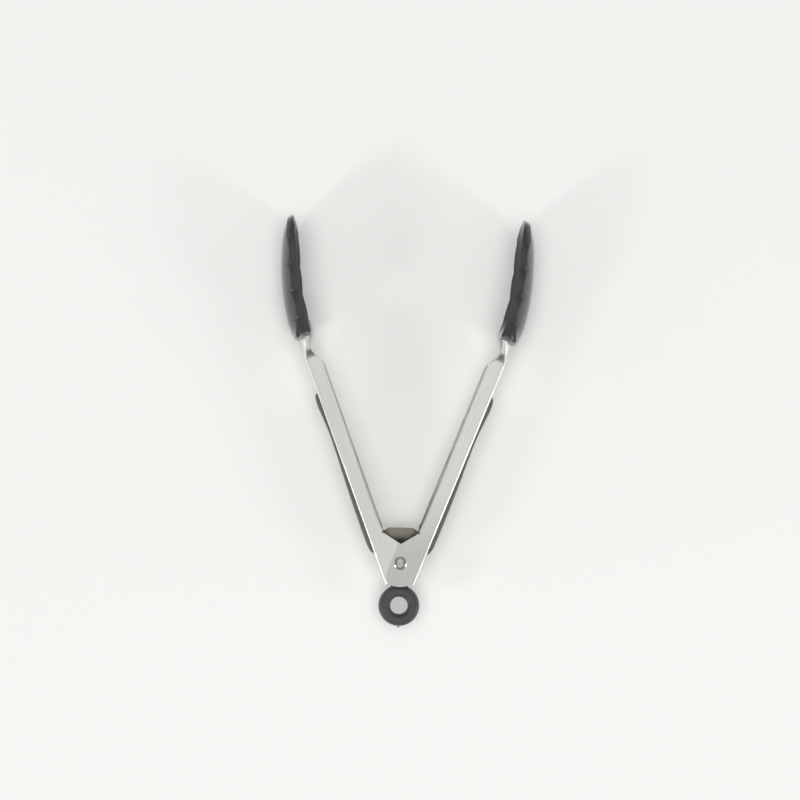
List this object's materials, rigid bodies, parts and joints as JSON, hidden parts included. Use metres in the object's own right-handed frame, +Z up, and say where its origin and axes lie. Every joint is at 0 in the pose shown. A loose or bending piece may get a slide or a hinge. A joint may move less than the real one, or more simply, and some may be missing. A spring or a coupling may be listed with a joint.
{
  "type": "spring loaded kitchen tongs",
  "caption": "Spring loaded kitchen tongs with hinged steel channel arms, scalloped silicone scoop heads, soft grip pads and a sliding pull ring lock.",
  "frame": {"origin": "bottom centre of the open tongs' bounding box, as they lie on one side", "axes": "+Y from the pull ring to the tips, +X to the right arm, +Z up along the hinge pin"},
  "size_m": [0.1088, 0.1764, 0.028],
  "materials": {
    "arm_steel": "fine lengthwise brushed stainless steel",
    "grip_rubber": "matte soft touch black",
    "head_silicone": "satin dark grey silicone",
    "rivet_steel": "polished dome",
    "spacer_plastic": "natural moulded nylon",
    "spring_steel": "drawn wire",
    "lock_steel": "plain rolled sheet",
    "ring_plastic": "semi matte black moulding"
  },
  "bodies": {
    "pivot": {"pivot_rivet": "rivet_steel", "upper_spacer": "spacer_plastic", "lower_spacer": "spacer_plastic", "torsion_spring": "spring_steel"},
    "left_arm": {"left_arm": "arm_steel", "left_grip": "grip_rubber", "left_head": "head_silicone"},
    "right_arm": {"right_arm": "arm_steel", "right_grip": "grip_rubber", "right_head": "head_silicone"},
    "lock": {"lock_plate": "lock_steel", "pull_ring": "ring_plastic"}
  },
  "joints": [
    {"name": "left_hinge", "type": "hinge", "parent": "pivot", "child": "left_arm", "pos_m": [0, -0.0596, 0.014], "axis": [0, 0, -1], "range_deg": [0, 18.4], "stiffness_Nm_per_rad": 0.4, "springref_deg": -20.05, "deforming": ["torsion_spring"]},
    {"name": "right_hinge", "type": "hinge", "parent": "pivot", "child": "right_arm", "pos_m": [0, -0.0596, 0.014], "axis": [0, 0, 1], "range_deg": [0, 18.4], "stiffness_Nm_per_rad": 0.4, "springref_deg": -20.05, "deforming": ["torsion_spring"]},
    {"name": "lock_slide", "type": "slide", "parent": "pivot", "child": "lock", "axis": [0, -1, 0], "range_m": [0, 0.006]}
  ],
  "couplings": [
    {"joint": "right_hinge", "follows": "left_hinge", "ratio": 1}
  ]
}
